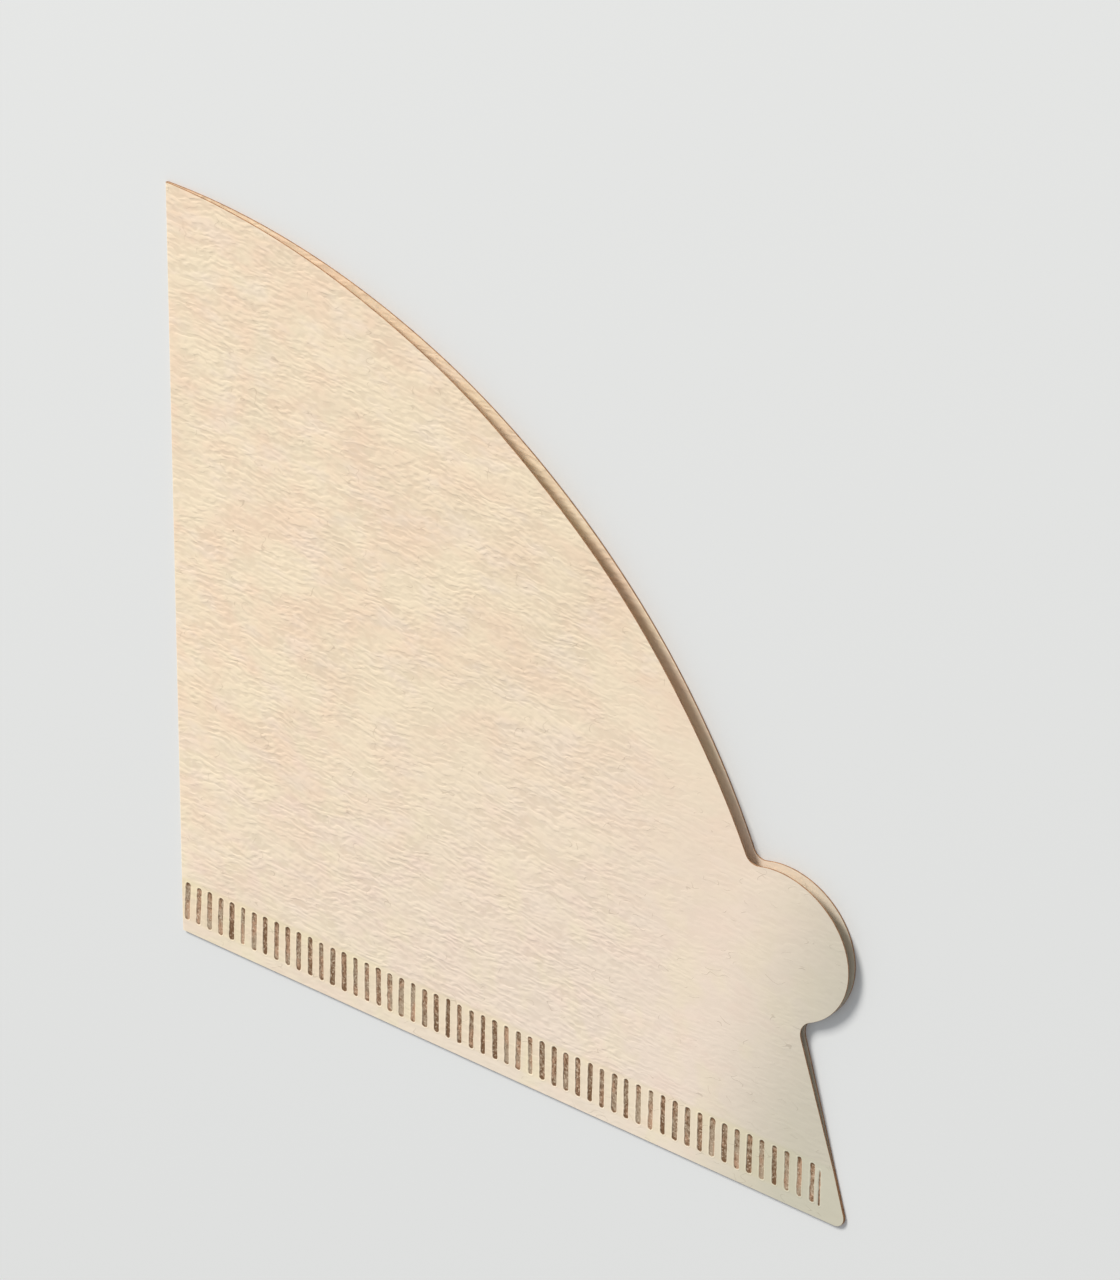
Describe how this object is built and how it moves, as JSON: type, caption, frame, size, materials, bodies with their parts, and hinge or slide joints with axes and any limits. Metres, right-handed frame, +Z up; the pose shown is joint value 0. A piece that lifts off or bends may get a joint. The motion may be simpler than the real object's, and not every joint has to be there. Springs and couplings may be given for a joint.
{
  "type": "paper coffee filter",
  "caption": "Flat-folded cone filter of unbleached crepe paper, with a crimped edge, a round rim and a pull tab.",
  "frame": {"origin": "middle of the bounding box, on the underside that lies on the table", "axes": "+X along the crimped edge towards the pull tab, +Y along the fold towards the rim, +Z up off the table"},
  "size_m": [0.124, 0.1254, 0.0029],
  "materials": {
    "paper": "matte unbleached crepe"
  },
  "bodies": {
    "root": {"coffee_filter": "paper"}
  },
  "joints": []
}
